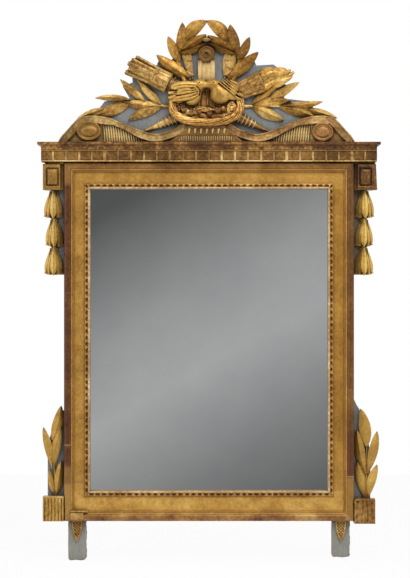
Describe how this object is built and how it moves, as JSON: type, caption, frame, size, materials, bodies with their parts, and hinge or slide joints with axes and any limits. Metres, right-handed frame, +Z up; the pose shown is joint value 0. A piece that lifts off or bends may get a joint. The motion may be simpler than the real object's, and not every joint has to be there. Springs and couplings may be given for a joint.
{
  "type": "wall mirror",
  "caption": "Carved giltwood wall mirror with a dentil cornice, a crest of doves and laurel, husk drops and laurel sprays at the sides, stub feet and iron hanging rings on the back.",
  "frame": {"origin": "middle of the top rail's back face, on the plane of the wall", "axes": "+Z up, +X to the viewer's right, +Y into the wall; the mirror looks along -Y"},
  "size_m": [0.684, 0.0594, 1.0829],
  "materials": {
    "gilding": "gold leaf over red bole on carved wood, rubbed and aged",
    "worn_gilding": "gold leaf worn through to dark red bole",
    "pale_gilding": "gold leaf worn to cream gesso on the ridges",
    "painted_wood": "aged blue-grey paint on wood",
    "pine": "bare pine, oxidised",
    "oak": "bare oak",
    "iron": "forged iron with a thin brown rust",
    "mirror_glass": "old silvered glass"
  },
  "bodies": {
    "frame": {"backboard_nails": "iron", "bottom_backboard": "pine", "bottom_outer_moulding": "worn_gilding", "bottom_rail": "gilding", "bottom_sight_moulding": "pale_gilding", "corner_pegs": "oak", "cornice": "worn_gilding", "crest_battens": "pine", "crest_board": "painted_wood", "dentil_course": "worn_gilding", "fluted_shaft": "pale_gilding", "foot_drops": "gilding", "iron_screws": "iron", "laurel_crown": "gilding", "left_dove": "gilding", "left_flute_panel": "gilding", "left_foot": "painted_wood", "left_hanger_plate": "iron", "left_husk_drop": "gilding", "left_laurel_branch": "gilding", "left_laurel_spray": "gilding", "left_lower_ear_block": "gilding", "left_lower_ear_board": "painted_wood", "left_outer_moulding": "worn_gilding", "left_patera": "gilding", "left_scroll_band": "pale_gilding", "left_sight_moulding": "pale_gilding", "left_stile": "gilding", "left_upper_ear_block": "gilding", "left_upper_ear_board": "painted_wood", "middle_backboard": "pine", "mirror_glass": "mirror_glass", "nest": "gilding", "pedestal": "pale_gilding", "quiver": "gilding", "ribbon_tails": "gilding", "right_dove": "gilding", "right_flute_panel": "gilding", "right_foot": "painted_wood", "right_hanger_plate": "iron", "right_husk_drop": "gilding", "right_laurel_branch": "gilding", "right_laurel_spray": "gilding", "right_lower_ear_block": "gilding", "right_lower_ear_board": "painted_wood", "right_outer_moulding": "worn_gilding", "right_patera": "gilding", "right_scroll_band": "pale_gilding", "right_sight_moulding": "pale_gilding", "right_stile": "gilding", "right_upper_ear_block": "gilding", "right_upper_ear_board": "painted_wood", "shaft_roundel": "gilding", "top_backboard": "pine", "top_outer_moulding": "worn_gilding", "top_rail": "gilding", "top_sight_moulding": "pale_gilding", "torch": "gilding"},
    "left_ring": {"left_hanging_ring": "iron"},
    "right_ring": {"right_hanging_ring": "iron"}
  },
  "joints": [
    {"name": "left_ring_swing", "type": "hinge", "parent": "frame", "child": "left_ring", "pos_m": [-0.268, -0.00498, -0.071], "axis": [1, 0, 0], "range_deg": [0, 180]},
    {"name": "right_ring_swing", "type": "hinge", "parent": "frame", "child": "right_ring", "pos_m": [0.268, -0.00498, -0.071], "axis": [1, 0, 0], "range_deg": [0, 180]}
  ]
}
